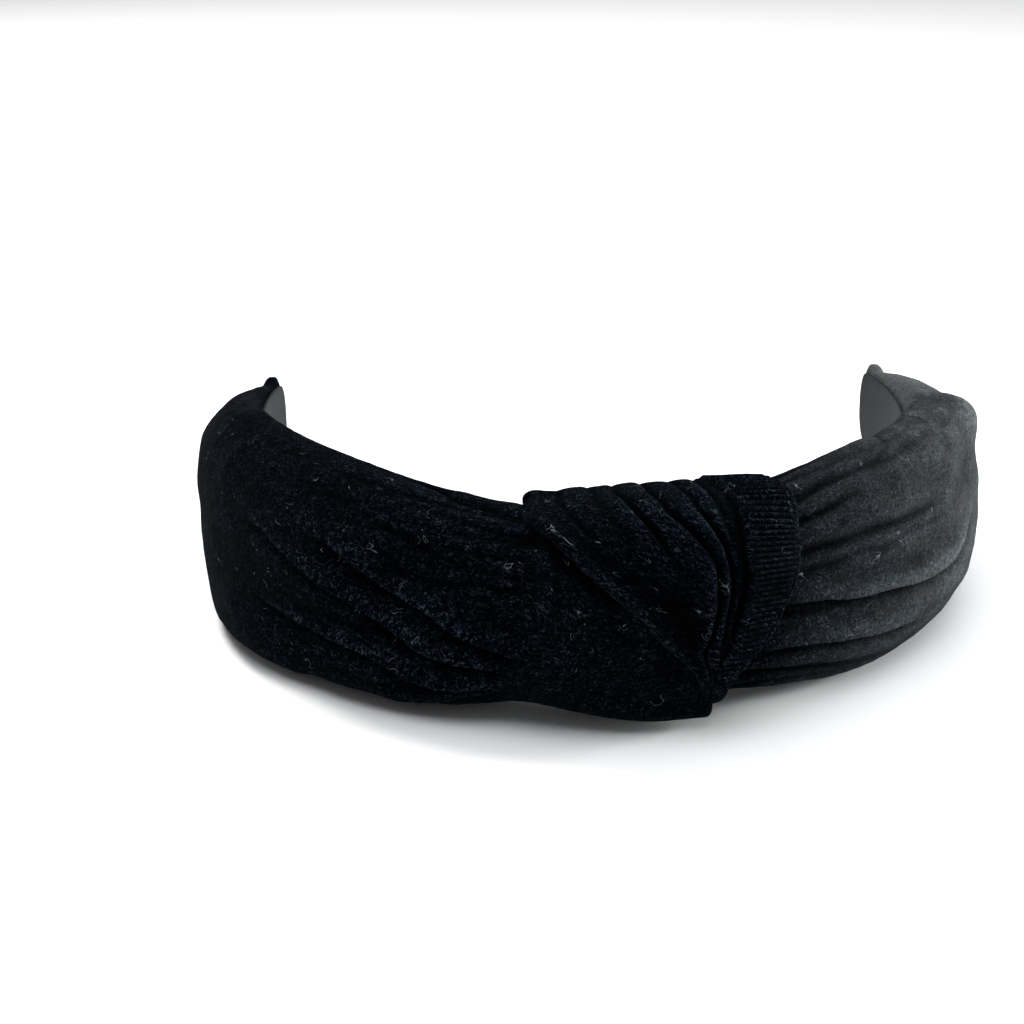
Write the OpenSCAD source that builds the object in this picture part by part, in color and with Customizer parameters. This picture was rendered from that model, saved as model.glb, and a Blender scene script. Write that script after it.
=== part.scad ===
// Knotted velvet headband: a springy plastic hoop in a padded velvet tube, tied in one knot at
// the crown, with a ribbon lining on the side that meets the head.
// The hoop lies in the XY plane with the knot at -Y and the two tips at +Y. +Z is across the
// band, and Z = 0 is the surface that the band lies on, on its side edge.

/* [Head opening] */
// Radius of the lining's face round the crown of the head
grip_r = 62; // [55:0.5:70]
// Half angle of the round crown stretch
crown_half = 62; // [50:1:70]
// Radius of the flatter arms beyond the crown
arm_r = 102; // [80:1:140]
// Angle, from the crown, at which an arm ends
tip_angle = 104; // [90:1:115]

/* [Lining] */
// Width of the lining ribbon round the crown
lining_w = 24; // [16:1:30]
// Width of the lining ribbon at a tip
lining_tip_w = 11; // [8:1:14]
// Thickness of the lining ribbon
lining_t = 0.8; // [0.5:0.1:1.2]

/* [Plastic core] */
// Width of the core at the crown
core_w = 26; // [18:1:30]
// Width of the core at a tip
core_tip_w = 9; // [8:1:12]
// Thickness of the core
core_t = 1.8; // [1.2:0.1:2.5]

/* [Velvet] */
// Thickness of the velvet, ground and pile together
velvet_t = 1.2; // [0.8:0.1:1.6]
// Widest part of the gathered cover, across the band
cover_w = 42; // [34:1:48]
// Width of the cover where it goes into the knot
cover_knot_w = 35; // [26:1:40]
// Width of the cover at a tip
cover_tip_w = 17; // [15:1:20]
// How far the puffed cover stands out from the head
cover_puff = 18; // [12:1:22]
// How far the cover stands out where it goes into the knot
cover_knot_puff = 16; // [10:1:17]
// How far the cover stands out at a tip
cover_tip_puff = 6.2; // [6.2:0.2:8]

/* [Knot] */
// Width of the knot, across the band
knot_w = 42; // [36:1:48]
// How far the knot stands out from the head
knot_puff = 26; // [22:1:32]
// Half angle that the knot's wraps reach along the crown
knot_half = 17.5; // [14:0.5:18]

/* [Flex] */
// Angle from the crown of the line that each arm flexes about
flex_angle = 20; // [19:0.5:24]
// Gap left in the core and the lining at that line
flex_gap = 0.3; // [0.2:0.05:0.6]

/* [Hidden] */

$fn = 96;
slip = 0.1;                                  // clearance between pieces that lie on each other
cover_in = lining_t + slip;                  // where the cover begins, outward from the head
core_in = cover_in + velvet_t + 0.5;         // where the core begins
core_out = core_in + core_t;
tip_wall = 2.5;                              // velvet turned in past the end of the core
pressed = 0.5;                               // how far the velvet is pressed flat where it lies
mid_z = max(knot_w, cover_w) / 2 - pressed;  // height of the hoop's middle plane

// The arms' arcs meet the crown's arc on one tangent, at the angle crown_half.
arm_centre = [-(arm_r - grip_r) * sin(crown_half), (arm_r - grip_r) * cos(crown_half)];
crown_len = grip_r * crown_half * PI / 180;
arm_len = arm_r * (tip_angle - crown_half) * PI / 180;
band_len = crown_len + arm_len;
flex_len = grip_r * flex_angle * PI / 180;
gap_half = flex_gap / 2 / grip_r * 180 / PI; // half the flex gap, as an angle

// The hoop is centred, front to back, on the knot's face and the outer corners of the tips.
tip_y = arm_centre.y - (arm_r + cover_tip_puff) * cos(tip_angle);
hoop_y = (grip_r + knot_puff - tip_y) / 2;

function power(v, e) = sign(v) * pow(abs(v), e);

// Angle of the hoop's outward direction, at a distance s along the right half from the crown.
function turn(s) = s < crown_len ? s / grip_r * 180 / PI
                                 : crown_half + (s - crown_len) / arm_r * 180 / PI;

// A point of the right half: s along the hoop, o outward from the head, z across the band.
function at_hoop(s, o, z) =
    let (a = turn(s), on_crown = s < crown_len, r = (on_crown ? grip_r : arm_r) + o)
    [(on_crown ? 0 : arm_centre.x) + r * sin(a), (on_crown ? 0 : arm_centre.y) - r * cos(a), z];

// One point of a puffed section at angle q: flat on the head's side, round on the other.
// near and far are its limits outward from the head, and h is its half height.
belly = 0.35;                                // how far out the section is widest
function puff_point(q, near, far, h) =
    let (mid = near + belly * (far - near), c = cos(q))
    [c > 0 ? mid + (far - mid) * pow(c, 0.8) : mid - (mid - near) * pow(-c, 0.35),
     h * power(sin(q), 0.8)];

// Faces that join rings of n points, counted from the point number first.
function skin(rings, n, first = 0, flip = false) = [
    for (i = [0 : rings - 2], j = [0 : n - 1])
        let (a = first + i * n + j, b = first + i * n + (j + 1) % n)
        flip ? [a, b, b + n, a + n] : [a, a + n, b + n, b]
];

// Faces that close a ring of n points: one flat face, or strips between its two long sides.
function lid(n, first = 0, flip = false) = [
    [for (j = [0 : n - 1]) first + (flip ? n - 1 - j : j)]
];
function strip_lid(n, first = 0, flip = false) = [
    for (j = [0 : n / 2 - 2])
        let (a = first + j, b = first + n - 1 - j)
        flip ? [a, b, b - 1, a + 1] : [a, a + 1, b - 1, b]
];

module loft(rings, strips = false) {
    n = len(rings[0]);
    m = len(rings);
    top = (m - 1) * n;
    polyhedron(
        points = [for (ring = rings, p = ring) p],
        faces = strips ? concat(skin(m, n), strip_lid(n), strip_lid(n, top, true))
                       : concat(skin(m, n), lid(n), lid(n, top, true)),
        convexity = 6
    );
}

// A loft with a hollow that is open at its first ring and closed at its last one.
module sock(outer, inner) {
    n = len(outer[0]);
    m = len(outer);
    k = len(inner);
    polyhedron(
        points = concat([for (ring = outer, p = ring) p], [for (ring = inner, p = ring) p]),
        faces = concat(
            skin(m, n),
            skin(k, n, m * n, true),
            [for (j = [0 : n - 1]) [j, (j + 1) % n, m * n + (j + 1) % n, m * n + j]],
            lid(n, (m - 1) * n, true),
            lid(n, (m + k - 1) * n)
        ),
        convexity = 8
    );
}

// The cover's half height and its outward reach, at a distance s along the hoop.
round_tip = 5;                               // length over which the tip is rounded
function tip_round(s) = let (u = max(0, (s - band_len + round_tip) / round_tip)) 1 - 0.25 * u * u;
function half_h(s) = tip_round(s) * lookup(s, [
    [flex_len, cover_knot_w / 2], [flex_len + 14, cover_w / 2 - 2], [flex_len + 30, cover_w / 2],
    [crown_len + 12, cover_w / 2], [crown_len + 34, cover_w / 2 - 5],
    [band_len - 18, cover_tip_w / 2 + 3], [band_len, cover_tip_w / 2],
]);
function reach(s) = lookup(s, [
    [flex_len, cover_knot_puff], [flex_len + 12, cover_puff - 1], [flex_len + 30, cover_puff],
    [crown_len + 14, cover_puff], [crown_len + 46, cover_puff * 0.68],
    [band_len - 10, cover_tip_puff + 1], [band_len, cover_tip_puff],
]);

// Rings of the cover's section from s_a to s_b, drawn in by wall; floor_o cuts off its head side.
section_n = 20;
function cover_rings(s_a, s_b, steps, wall, floor_o = 0) = [
    for (i = [0 : steps])
        let (s = s_a + (s_b - s_a) * i / steps)
        [for (j = [0 : section_n - 1])
            let (p = puff_point(360 * (j + 0.5) / section_n, cover_in + wall, reach(s) - wall,
                                half_h(s) - wall))
            at_hoop(s, max(p[0], floor_o), max(mid_z + p[1], 0))]
];

module place() translate([0, hoop_y, 0]) children();
module left_half() mirror([1, 0, 0]) children();

// A flat strip round the crown, w wide, from o to o + t outward, between two angles.
module crown_strip(o, t, w, from, to)
    translate([0, 0, mid_z - w / 2])
        rotate_extrude(angle = to - from, start = from - 90)
            translate([grip_r + o, 0]) square([t, w]);

// The same strip along an arm, where it tapers to w_tip.
module arm_strip(o, t, w, w_tip, end) {
    y_a = -grip_r * cos(crown_half);
    y_b = arm_centre.y - arm_r * cos(tip_angle);
    back = grip_r / 2;                       // the taper's sides start this far before the arm
    grow = (w - w_tip) / 2 * back / (y_b - y_a);
    intersection() {
        translate([arm_centre.x, arm_centre.y, mid_z - w / 2])
            rotate_extrude(angle = end - crown_half, start = crown_half - 90)
                translate([arm_r + o, 0]) square([t, w]);
        translate([0, 0, mid_z]) rotate([90, 0, 90])
            linear_extrude(height = 2 * arm_r)
                polygon([[y_a - back, -w / 2 - grow], [y_b, -w_tip / 2],
                         [y_b, w_tip / 2], [y_a - back, w / 2 + grow]]);
    }
}

// Both strips as one piece: the key inside them joins the ends of the two arcs.
module strip_arm(o, t, w, w_tip, end) {
    key = t / 2;
    crown_strip(o, t, w, flex_angle + gap_half, crown_half);
    arm_strip(o, t, w, w_tip, end);
    rotate([0, 0, crown_half - 90])
        translate([grip_r + o + t / 2 - key / 2, -key, mid_z - w / 2 + 1])
            cube([key, 2 * key, w - 2]);
}

core_end = tip_angle - tip_wall / arm_r * 180 / PI;

module core_arm() color("dimgray") strip_arm(core_in, core_t, core_w, core_tip_w, core_end);
module lining_arm() color("darkslategray") strip_arm(0, lining_t, lining_w, lining_tip_w, core_end);

module core_crown() color("dimgray") place()
    crown_strip(core_in, core_t, core_w, gap_half - flex_angle, flex_angle - gap_half);
module core_left_arm() place() left_half() core_arm();
module core_right_arm() place() core_arm();

module lining_crown() color("darkslategray") place()
    crown_strip(0, lining_t, lining_w, gap_half - flex_angle, flex_angle - gap_half);
module lining_left_arm() place() left_half() lining_arm();
module lining_right_arm() place() lining_arm();

// The cover's hollow and the padding in it share their rings, so that they fit one another. The
// padding ends where the arm has thinned to core and velvet.
ring_n = 22;
padding_n = 16;
hollow_a = flex_len + gap_half;
hollow_b = band_len - velvet_t;
padding_b = hollow_a + (hollow_b - hollow_a) * padding_n / ring_n;
module padding() color("gainsboro")
    loft(cover_rings(hollow_a, padding_b, padding_n, velvet_t + slip, core_out + slip));
module padding_left() place() left_half() padding();
module padding_right() place() padding();

// The gathered velvet tube of one arm: open at the knot, closed round the tip.
module velvet_cover() color("black")
    sock(cover_rings(hollow_a, band_len, ring_n, 0),
         cover_rings(hollow_a, hollow_b, ring_n, velvet_t));
module velvet_cover_left() place() left_half() velvet_cover();
module velvet_cover_right() place() velvet_cover();

// A point of the knot: a along the crown as an angle, q round its section, at depth d under
// its outer face.
function at_knot(a, q, d, floor_o = 0) =
    let (p = puff_point(q, cover_in + slip, knot_puff - d, knot_w / 2 - d),
         r = grip_r + max(p[0], floor_o))
    [r * sin(a), -r * cos(a), max(mid_z + p[1], 0)];

layer = 2.9;                                 // thickness of one gathered pass of the tube
stuffing_d = 2 * layer;                      // depth at which the bunched velvet inside begins

// One pass of the tube over the knot, from angle q_a to q_b round its section. At its start
// it lies between the crown angles from_a and to_a, and at its end between from_b and to_b.
wrap_n = 11;
module knot_pass(q_a, q_b, from_a, to_a, from_b, to_b, d, bow = 1) {
    steps = 22;
    loft([
        for (i = [0 : steps])
            let (u = i / steps, v = pow(u, bow), q = q_a + (q_b - q_a) * u,
                 lo = from_a + (from_b - from_a) * v, hi = to_a + (to_b - to_a) * v)
            concat(
                [for (j = [0 : wrap_n])
                    at_knot(lo + (hi - lo) * j / wrap_n, q, j == 0 || j == wrap_n ? d + 0.9 : d)],
                [for (j = [wrap_n : -1 : 0])
                    at_knot(lo + (hi - lo) * j / wrap_n, q,
                            d + layer - (j == 0 || j == wrap_n ? 0.9 : 0) - slip)]
            )
    ], strips = true);
}

q_tuck = 115;                                // where a pass tucks in behind the core's edge

module knot_stuffing() color("#202020") place()
    loft([
        for (i = [0 : 14])
            let (a = (knot_half - 1) * (i / 7 - 1), d = stuffing_d + 3 * pow(abs(i / 7 - 1), 3))
            [for (j = [0 : section_n - 1])
                at_knot(a, 360 * (j + 0.5) / section_n, d, core_out + slip)]
    ]);
module knot_under_wrap() color("#141414") place()
    knot_pass(60, -q_tuck, 5 - knot_half, knot_half - 8, -knot_half, 6, layer);
module knot_over_wrap() color("black") place()
    knot_pass(q_tuck, -q_tuck, 2 - knot_half, knot_half, 7, knot_half - 3, 0, 1.2);

core_crown();
core_left_arm();
core_right_arm();
lining_crown();
lining_left_arm();
lining_right_arm();
padding_left();
padding_right();
velvet_cover_left();
velvet_cover_right();
knot_stuffing();
knot_under_wrap();
knot_over_wrap();
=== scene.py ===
"""Knotted velvet headband. Blender 4.5, metres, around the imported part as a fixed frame.

The padded velvet tube, the two passes of the knot and the lining ribbon are built here.
The plastic core is the CAD part's own.
"""
import math

import bpy
import numpy as np
from mathutils import Matrix, Vector


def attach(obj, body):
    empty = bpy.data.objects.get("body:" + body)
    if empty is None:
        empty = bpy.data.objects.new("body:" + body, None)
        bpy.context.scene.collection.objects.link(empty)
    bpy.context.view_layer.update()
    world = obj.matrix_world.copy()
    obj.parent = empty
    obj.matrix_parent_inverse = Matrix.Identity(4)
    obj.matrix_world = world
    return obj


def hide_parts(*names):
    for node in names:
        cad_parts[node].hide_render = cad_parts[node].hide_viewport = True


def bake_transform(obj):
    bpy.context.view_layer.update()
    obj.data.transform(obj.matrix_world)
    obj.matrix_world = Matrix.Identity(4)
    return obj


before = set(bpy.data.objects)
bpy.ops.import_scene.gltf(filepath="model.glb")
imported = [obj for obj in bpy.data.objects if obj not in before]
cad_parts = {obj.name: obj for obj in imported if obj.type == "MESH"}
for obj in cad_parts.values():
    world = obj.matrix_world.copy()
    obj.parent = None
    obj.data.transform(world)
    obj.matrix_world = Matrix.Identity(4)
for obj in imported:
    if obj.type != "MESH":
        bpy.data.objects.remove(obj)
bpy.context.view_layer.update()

MM = 0.001
UV_PER_MM = 0.01                     # one UV unit is 100 mm of cloth

# ---------------------------------------------------------------- the hoop, as in the part (mm)
GRIP_R = 62.0
CROWN_HALF = math.radians(62)
ARM_R = 102.0
TIP_ANGLE = math.radians(104)
MID_Z = 20.5
COVER_IN = 0.9
KNOT_PUFF = 26.0
KNOT_HALF_W = 21.0
TIP_PUFF = 6.2
BELLY = 0.35

CROWN_LEN = GRIP_R * CROWN_HALF
BAND_LEN = CROWN_LEN + ARM_R * (TIP_ANGLE - CROWN_HALF)
FLEX_LEN = GRIP_R * math.radians(20)
ARM_CX = -(ARM_R - GRIP_R) * math.sin(CROWN_HALF)
ARM_CY = (ARM_R - GRIP_R) * math.cos(CROWN_HALF)
TIP_Y = ARM_CY - (ARM_R + TIP_PUFF) * math.cos(TIP_ANGLE)
HOOP_Y = (GRIP_R + KNOT_PUFF - TIP_Y) / 2


def at_hoop(s, o, z):
    """Points of the row frame, in mm: s along the hoop from the crown, o outward, z across."""
    side = np.where(s < 0, -1.0, 1.0)
    along = np.abs(s)
    on_crown = along < CROWN_LEN
    angle = np.where(on_crown, along / GRIP_R, CROWN_HALF + (along - CROWN_LEN) / ARM_R)
    r = np.where(on_crown, GRIP_R, ARM_R) + o
    x = np.where(on_crown, 0.0, ARM_CX) + r * np.sin(angle)
    y = np.where(on_crown, 0.0, ARM_CY) - r * np.cos(angle)
    return np.stack([x * side, y + HOOP_Y, z + MID_Z], -1)


# ---------------------------------------------------------------- small tools
def table(x, pairs):
    """A smooth line through (x, value) pairs given in rising x, flat beyond its ends."""
    xs, ys = (np.array(v, float) for v in zip(*pairs))
    slope = np.diff(ys) / np.diff(xs)
    tangent = np.zeros(len(xs))
    same = slope[:-1] * slope[1:] > 0
    mean = 2 * slope[:-1] * slope[1:] / np.where(same, slope[:-1] + slope[1:], 1)
    tangent[1:-1] = np.where(same, mean, 0)
    x = np.clip(x, xs[0], xs[-1])
    k = np.clip(np.searchsorted(xs, x, "right") - 1, 0, len(xs) - 2)
    step = xs[k + 1] - xs[k]
    t = (x - xs[k]) / step
    return (ys[k] * (1 + 2 * t) * (1 - t) ** 2 + tangent[k] * step * t * (1 - t) ** 2
            + ys[k + 1] * t * t * (3 - 2 * t) + tangent[k + 1] * step * t * t * (t - 1))


def smooth(x, lo, hi):
    """0 below lo, 1 above hi, smooth between."""
    t = np.clip((x - lo) / (hi - lo), 0, 1)
    return t * t * (3 - 2 * t)


def lattice(ix, iy, seed):
    """A fixed pseudo-random number from 0 to 1 at each whole-number point."""
    n = (ix * 374761393 + iy * 668265263 + seed * 1442695041) & 0xFFFFFFFF
    n = ((n ^ (n >> 13)) * 1274126177) & 0xFFFFFFFF
    return ((n ^ (n >> 16)) & 0xFFFF) / 65535.0


def noise(x, y, seed):
    """Smooth noise from -1 to 1 with features one unit wide."""
    x, y = np.broadcast_arrays(np.asarray(x, float), np.asarray(y, float))
    ix, iy = np.floor(x).astype(np.int64), np.floor(y).astype(np.int64)
    fx, fy = x - ix, y - iy
    fx, fy = fx * fx * (3 - 2 * fx), fy * fy * (3 - 2 * fy)
    low = lattice(ix, iy, seed) * (1 - fx) + lattice(ix + 1, iy, seed) * fx
    high = lattice(ix, iy + 1, seed) * (1 - fx) + lattice(ix + 1, iy + 1, seed) * fx
    return 2 * (low * (1 - fy) + high * fy) - 1


def power(v, e):
    """v to the power e, keeping its sign."""
    return np.sign(v) * np.abs(v) ** e


def section(near, far, half, count, dense=1441):
    """One puffed section, resampled to count points evenly along its outline from -180 to 180.

    Returns outward and across coordinates, the section angle q in degrees, the distance e
    along the outline from its face (q = 0), and the outline's length."""
    q = np.linspace(-180, 180, dense)
    c = np.cos(np.radians(q))
    mid = near + BELLY * (far - near)
    o = np.where(c > 0, mid + (far - mid) * np.abs(c) ** 0.8, mid - (mid - near) * np.abs(c) ** 0.35)
    z = half * power(np.sin(np.radians(q)), 0.8)
    step = np.hypot(np.diff(o), np.diff(z))
    e = np.concatenate([[0], np.cumsum(step)])
    length = e[-1]
    e -= e[dense // 2]
    want = np.linspace(e[0], e[-1], count)
    return (np.interp(want, e, o), np.interp(want, e, z), np.interp(want, e, q), want, length)


def normals(o, z):
    """Outward unit normals of rows of section points (last axis runs along the outline)."""
    do, dz = np.gradient(o, axis=-1), np.gradient(z, axis=-1)
    size = np.hypot(do, dz) + 1e-9
    return dz / size, -do / size


def blur_rows(a, times):
    """Blur an array in place along its last axis, and return it."""
    for _ in range(times):
        a[..., 1:-1] = (a[..., :-2] + 2 * a[..., 1:-1] + a[..., 2:]) / 4
    return a


def relief(height, times=45):
    """How far each point of a grid of heights stands above its blurred neighbourhood, in mm."""
    low = height.copy()
    for _ in range(times):
        low = blur_rows(blur_rows(low, 1).T, 1).T
    return height - low


def make_mesh(name, verts, faces, uvs, material, painted_fold_light=None):
    """A smooth mesh object from points in mm, quads, and a UV for each corner of each quad.

    The last argument says how far each point stands out of the folds round it; from it the material paints
    the crests paler and the creases darker."""
    mesh = bpy.data.meshes.new(name)
    faces = np.asarray(faces, np.int32)
    mesh.vertices.add(len(verts))
    mesh.vertices.foreach_set("co", (np.asarray(verts) * MM).astype(np.float32).ravel())
    mesh.loops.add(faces.size)
    mesh.loops.foreach_set("vertex_index", faces.ravel())
    mesh.polygons.add(len(faces))
    mesh.polygons.foreach_set("loop_start", np.arange(0, faces.size, 4, dtype=np.int32))
    mesh.polygons.foreach_set("loop_total", np.full(len(faces), 4, np.int32))
    mesh.polygons.foreach_set("use_smooth", np.ones(len(faces), bool))
    layer = mesh.uv_layers.new(name="cloth")
    layer.data.foreach_set("uv", (np.asarray(uvs) * UV_PER_MM).astype(np.float32).ravel())
    if painted_fold_light is not None:
        layer = mesh.attributes.new("painted_fold_light", "FLOAT", "POINT")
        layer.data.foreach_set("value", np.asarray(painted_fold_light, np.float32).ravel())
    mesh.update(calc_edges=True)
    mesh.validate()
    mesh.materials.append(material)
    obj = bpy.data.objects.new(name, mesh)
    bpy.context.scene.collection.objects.link(obj)
    return obj


def tube_faces(rows, count):
    """Quads that join rows of count points, each row a closed loop."""
    i, j = np.meshgrid(np.arange(rows - 1), np.arange(count), indexing="ij")
    k = (j + 1) % count
    quads = np.stack([i * count + j, i * count + k, (i + 1) * count + k, (i + 1) * count + j], -1)
    return quads.reshape(-1, 4)


def lid_faces(first, count, flip):
    """Quads between the two sides of a closed loop of count points."""
    j = np.arange(count // 2 - 1)
    a, b = first + j, first + count - 1 - j
    quads = np.stack([a, a + 1, b - 1, b], -1)
    return quads[:, ::-1] if flip else quads


def loft(points, u, v):
    """Vertices, quads and corner UVs of a closed tube of rows, with a lid at each end."""
    rows, count = points.shape[:2]
    side = tube_faces(rows, count)
    lids = np.concatenate([lid_faces(0, count, True), lid_faces((rows - 1) * count, count, False)])
    uv = np.stack([u, v], -1).reshape(-1, 2)
    side_uv = uv[side]
    # across the seam the distance round the section must not jump back to its start
    wrap = side_uv[..., 1].max(1) - side_uv[..., 1].min(1) > 30
    low = side_uv[..., 1] < 0
    side_uv[..., 1] += np.where(wrap[:, None] & low, -2 * side_uv[..., 1], 0)
    return points.reshape(-1, 3), np.concatenate([side, lids]), np.concatenate([side_uv, uv[lids]])


# ---------------------------------------------------------------- materials
RIB_MM = 1.07                        # distance between the velvet's ribs
PAINTED_LIGHT_FROM, PAINTED_LIGHT_TO = 21.0, 125.0       # where along the right arm the painted light begins and where it is strongest, mm


def new_material(name):
    """A material with its nodes, links and Principled shader."""
    material = bpy.data.materials.new(name)
    material.use_nodes = True
    nodes = material.node_tree.nodes
    return material, nodes, material.node_tree.links, nodes["Principled BSDF"]


def link_math(nodes, links, op, a, b):
    """One sum of two values, each a socket or a plain number."""
    node = nodes.new("ShaderNodeMath")
    node.operation = op
    for socket, value in zip(node.inputs, (a, b)):
        if isinstance(value, (int, float)):
            socket.default_value = value
        else:
            links.new(value, socket)
    return node.outputs[0]


def cloth_noise(nodes, links, vector, size_mm, detail, rough=0.5, swirl=0.0):
    """A noise over the cloth with features of size_mm."""
    node = nodes.new("ShaderNodeTexNoise")
    node.inputs["Scale"].default_value = 1 / (size_mm * UV_PER_MM)
    node.inputs["Detail"].default_value = detail
    node.inputs["Roughness"].default_value = rough
    node.inputs["Distortion"].default_value = swirl
    links.new(vector, node.inputs["Vector"])
    return node.outputs["Fac"]


def ramp(nodes, links, fac, stops):
    """Colours along (position, colour) stops."""
    node = nodes.new("ShaderNodeValToRGB")
    while len(node.color_ramp.elements) < len(stops):
        node.color_ramp.elements.new(0.5)
    for element, (position, colour) in zip(node.color_ramp.elements, stops):
        element.position = position
        element.color = (*colour, 1)
    links.new(fac, node.inputs["Fac"])
    return node.outputs["Color"]


def blend_colour(nodes, links, kind, amount, a, b):
    """Mix two colours; each may be a socket or plain numbers."""
    node = nodes.new("ShaderNodeMix")
    node.data_type = "RGBA"
    node.blend_type = kind
    for socket, value in zip((node.inputs[0], node.inputs[6], node.inputs[7]), (amount, a, b)):
        if isinstance(value, bpy.types.NodeSocket):
            links.new(value, socket)
        else:
            socket.default_value = value
    return node.outputs[2]


def step_ramp(nodes, links, fac, lo, hi):
    """Black below lo, white above hi."""
    return ramp(nodes, links, fac, [(lo, (0, 0, 0)), (hi, (1, 1, 1))])


def add_bump(nodes, links, shader, height, strength, distance):
    node = nodes.new("ShaderNodeBump")
    node.inputs["Strength"].default_value = strength
    node.inputs["Distance"].default_value = distance
    links.new(height, node.inputs["Height"])
    links.new(node.outputs["Normal"], shader.inputs["Normal"])


def velvet(name, rib_depth):
    """Short-pile black velvet: dark pile with light tips, faint ribs, a little pale lint, with painted light
    and shade: paler fold crests, darker creases and a paler right arm.
    """
    material, nodes, links, shader = new_material(name)
    uv = nodes.new("ShaderNodeTexCoord").outputs["UV"]
    pile = cloth_noise(nodes, links, uv, 0.45, 2, 0.6, 1.2)
    tufts = cloth_noise(nodes, links, uv, 1.7, 2)
    nap = cloth_noise(nodes, links, uv, 11, 3)
    # the ribs of the knit, which show only in patches
    wave = nodes.new("ShaderNodeTexWave")
    wave.wave_type = "BANDS"
    wave.bands_direction = "X"
    wave.wave_profile = "SIN"
    wave.inputs["Scale"].default_value = math.pi / 10 / (RIB_MM * UV_PER_MM)
    wave.inputs["Distortion"].default_value = 1.2
    wave.inputs["Detail"].default_value = 1
    wave.inputs["Detail Scale"].default_value = 2
    links.new(uv, wave.inputs["Vector"])
    patches = step_ramp(nodes, links, cloth_noise(nodes, links, uv, 9, 2), 0.45, 0.66)
    ribs = link_math(nodes, links, "MULTIPLY", wave.outputs["Fac"], rib_depth)
    ribs = link_math(nodes, links, "MULTIPLY", ribs, patches)
    height = link_math(nodes, links, "ADD", pile, link_math(nodes, links, "MULTIPLY", tufts, 0.6))
    height = link_math(nodes, links, "ADD", height, ribs)
    # colour: black ground, pile tips that catch the light in clumps
    light = link_math(nodes, links, "MULTIPLY", tufts, 0.25)
    light = link_math(nodes, links, "ADD", link_math(nodes, links, "ADD", pile, light), -0.125)
    light = link_math(nodes, links, "ADD", light, link_math(nodes, links, "MULTIPLY", ribs, 0.12))
    specks = ramp(nodes, links, light, [
        (0.42, (0.0001, 0.0004, 0.0013)), (0.52, (0.0007, 0.0015, 0.0030)),
        (0.60, (0.0046, 0.0072, 0.0110)), (0.70, (0.022, 0.030, 0.038)),
    ])
    soft_specks = ramp(nodes, links, light, [(0.36, (0.55, 0.55, 0.55)), (0.64, (1.45, 1.45, 1.45))])
    shade = ramp(nodes, links, nap, [(0.35, (0.35, 0.38, 0.44)), (0.65, (1.0, 1.0, 1.0))])
    colour = blend_colour(nodes, links, "MULTIPLY", 1, specks, shade)
    # painted light: the right arm's colour grows paler towards its tip, as if lit from the right
    along = nodes.new("ShaderNodeSeparateXYZ")
    links.new(uv, along.inputs[0])
    painted_right_light = link_math(nodes, links, "MULTIPLY", along.outputs[0], 1 / (PAINTED_LIGHT_TO * UV_PER_MM))
    painted_right_light = ramp(nodes, links, painted_right_light, [
        (PAINTED_LIGHT_FROM / PAINTED_LIGHT_TO, (0, 0, 0)), (0.32, (0.0135, 0.0150, 0.0160)),
        (0.72, (0.052, 0.055, 0.055)), (1.0, (0.092, 0.096, 0.095)),
    ])
    painted_right_light = blend_colour(nodes, links, "MULTIPLY", 1, painted_right_light, soft_specks)
    colour = blend_colour(nodes, links, "ADD", 1, colour, painted_right_light)
    # painted light and shade: the colour is made paler on the folds' crests and darker in the creases
    # between them
    painted_fold_light = nodes.new("ShaderNodeAttribute")
    painted_fold_light.attribute_name = "painted_fold_light"
    painted_fold_light = link_math(nodes, links, "ADD", painted_fold_light.outputs["Fac"], 0.5)
    fold_shade = ramp(nodes, links, painted_fold_light, [
        (0.0, (0.10, 0.10, 0.12)), (0.30, (0.38, 0.38, 0.40)), (0.5, (0.85, 0.85, 0.85)),
        (0.68, (1.5, 1.5, 1.5)), (1.0, (1.9, 1.9, 1.9)),
    ])
    colour = blend_colour(nodes, links, "MULTIPLY", 1, colour, fold_shade)
    # short curly fibres of lint: thin level lines of a noise, kept in small patches
    curl = link_math(nodes, links, "ADD", cloth_noise(nodes, links, uv, 2.6, 1, 0.5, 0.8), -0.5)
    curl = link_math(nodes, links, "ABSOLUTE", curl, 0)
    thin = ramp(nodes, links, curl, [(0.003, (1, 1, 1)), (0.009, (0, 0, 0))])
    place = step_ramp(nodes, links, cloth_noise(nodes, links, uv, 3.1, 0, 0.5, 0.3), 0.715, 0.735)
    lint = link_math(nodes, links, "MULTIPLY", thin, place)
    colour = blend_colour(nodes, links, "MIX", lint, colour, (0.11, 0.125, 0.135, 1))
    links.new(colour, shader.inputs["Base Color"])
    rough = link_math(nodes, links, "MULTIPLY", nap, 0.2)
    links.new(link_math(nodes, links, "ADD", rough, 0.78), shader.inputs["Roughness"])
    shader.inputs["Specular IOR Level"].default_value = 0.008
    shader.inputs["Sheen Weight"].default_value = 0.010
    shader.inputs["Sheen Roughness"].default_value = 0.35
    shader.inputs["Sheen Tint"].default_value = (0.55, 0.75, 1.0, 1)
    add_bump(nodes, links, shader, height, 0.9, 0.00040)
    return material


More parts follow.
